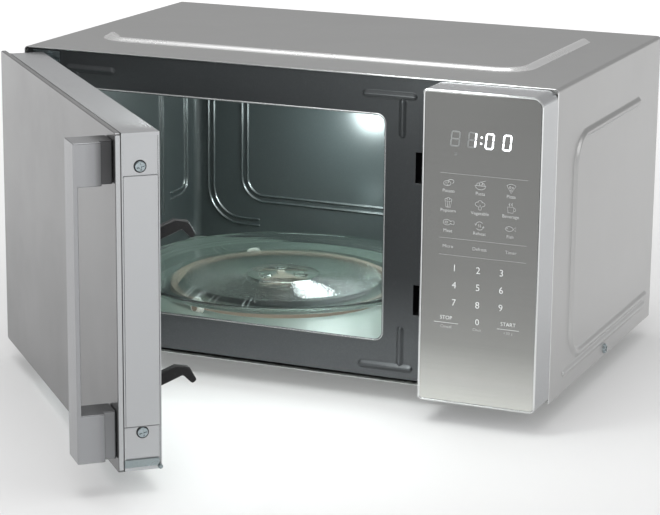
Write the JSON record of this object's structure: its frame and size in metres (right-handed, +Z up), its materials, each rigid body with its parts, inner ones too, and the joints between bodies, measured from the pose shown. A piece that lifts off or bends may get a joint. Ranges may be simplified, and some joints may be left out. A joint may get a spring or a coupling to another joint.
{
  "type": "microwave oven",
  "caption": "Countertop microwave oven with side-hinged door, latch hooks, glass turntable on rollers, touch panel and cooling fan.",
  "frame": {"origin": "centre of the overall box at table height, with the door open at its rest angle", "axes": "+X to the right seen from the front, +Y from the front to the back, +Z up"},
  "size_m": [0.456, 0.5624, 0.2532],
  "materials": {
    "silver_paint": "satin metallic silver paint",
    "mirror_panel": "dark silver mirror coating",
    "silver_plastic": "satin silver lacquer",
    "charcoal_paint": "satin charcoal paint",
    "cavity_enamel": "glossy dark grey-green enamel",
    "galvanised": "galvanised sheet",
    "black_plastic": "satin black",
    "tray_glass": "clear pressed glass with a green tint",
    "window_glass": "clear smoked sheet",
    "bulb_glass": "clear glass",
    "beige_plastic": "satin beige",
    "white_plastic": "satin white",
    "foot_rubber": "matt",
    "zinc": "zinc plated steel",
    "mica": "mica sheet",
    "winding": "varnished copper wire",
    "aluminium": "plain",
    "lamination": "stacked steel plates",
    "board": "green circuit board",
    "ceramic": "pale ceramic"
  },
  "bodies": {
    "case": {"outer_cover": "silver_paint", "base_plate": "galvanised", "rear_panel": "silver_paint", "front_frame": "charcoal_paint", "cavity_shell": "cavity_enamel", "cavity_floor": "cavity_enamel", "waveguide": "galvanised", "waveguide_cover": "mica", "lamp_socket": "ceramic", "lamp_bulb": "bulb_glass", "thermal_cutout": "black_plastic", "magnetron_body": "aluminium", "magnetron_antenna": "zinc", "transformer_core": "lamination", "transformer_primary_coil": "winding", "transformer_secondary_coil": "mica", "capacitor": "aluminium", "capacitor_clamp": "galvanised", "hv_diode": "black_plastic", "fan_shroud": "black_plastic", "fan_motor": "lamination", "line_filter_board": "board", "latch_board": "white_plastic", "door_switch_primary": "black_plastic", "door_switch_monitor": "black_plastic", "door_switch_secondary": "black_plastic", "control_panel_frame": "silver_plastic", "control_panel_glass": "mirror_panel", "display_module": "black_plastic", "control_board": "board", "hinge_bracket_top": "zinc", "hinge_bracket_bottom": "zinc", "foot_front_left": "foot_rubber", "foot_front_right": "foot_rubber", "foot_rear_left": "foot_rubber", "foot_rear_right": "foot_rubber", "cord_gland": "black_plastic", "side_screw_right": "zinc", "side_screw_left": "zinc", "turntable_motor": "zinc"},
    "door": {"door_front_panel": "mirror_panel", "door_frame": "silver_plastic", "door_edge_strip": "silver_plastic", "door_end_screw_top": "zinc", "door_end_screw_bottom": "zinc", "door_inner_frame": "galvanised", "door_window": "window_glass", "door_choke_cover": "black_plastic", "door_handle": "silver_plastic", "hinge_pin_top": "zinc", "hinge_pin_bottom": "zinc"},
    "latch": {"latch_hook": "black_plastic"},
    "turntable": {"glass_tray": "tray_glass", "drive_coupler": "white_plastic"},
    "ring": {"roller_ring": "beige_plastic"},
    "roller_1": {"roller_wheel_1": "white_plastic"},
    "roller_2": {"roller_wheel_2": "white_plastic"},
    "roller_3": {"roller_wheel_3": "white_plastic"},
    "fan": {"fan_blade": "white_plastic"}
  },
  "joints": [
    {"name": "door_hinge", "type": "hinge", "parent": "case", "child": "door", "pos_m": [-0.19659, -0.00132, 0.133], "axis": [0, 0, -1], "range_deg": [-47.2, 52.8]},
    {"name": "latch_lift", "type": "slide", "parent": "door", "child": "latch", "axis": [0, 0, 1], "range_m": [0, 0.004], "stiffness_N_per_m": 400, "springref_m": -0.002},
    {"name": "turntable_spin", "type": "hinge", "parent": "case", "child": "turntable", "pos_m": [-0.04979, 0.13918, 0.05], "axis": [0, 0, 1], "continuous": true},
    {"name": "ring_spin", "type": "hinge", "parent": "case", "child": "ring", "pos_m": [-0.04979, 0.13918, 0.044], "axis": [0, 0, 1], "continuous": true},
    {"name": "roller_1_spin", "type": "hinge", "parent": "ring", "child": "roller_1", "pos_m": [0.04602, 0.15435, 0.044], "axis": [0.9877, 0.1564, 0], "continuous": true},
    {"name": "roller_2_spin", "type": "hinge", "parent": "ring", "child": "roller_2", "pos_m": [-0.11083, 0.21456, 0.044], "axis": [-0.6293, 0.7771, 0], "continuous": true},
    {"name": "roller_3_spin", "type": "hinge", "parent": "ring", "child": "roller_3", "pos_m": [-0.08455, 0.04862, 0.044], "axis": [-0.3584, -0.9336, 0], "continuous": true},
    {"name": "fan_spin", "type": "hinge", "parent": "case", "child": "fan", "pos_m": [0.15821, 0.26468, 0.172], "axis": [0, 1, 0], "continuous": true}
  ],
  "couplings": [
    {"joint": "ring_spin", "follows": "turntable_spin", "ratio": 0.5},
    {"joint": "roller_1_spin", "follows": "turntable_spin", "ratio": -8.0833},
    {"joint": "roller_2_spin", "follows": "turntable_spin", "ratio": -8.0833},
    {"joint": "roller_3_spin", "follows": "turntable_spin", "ratio": -8.0833}
  ]
}
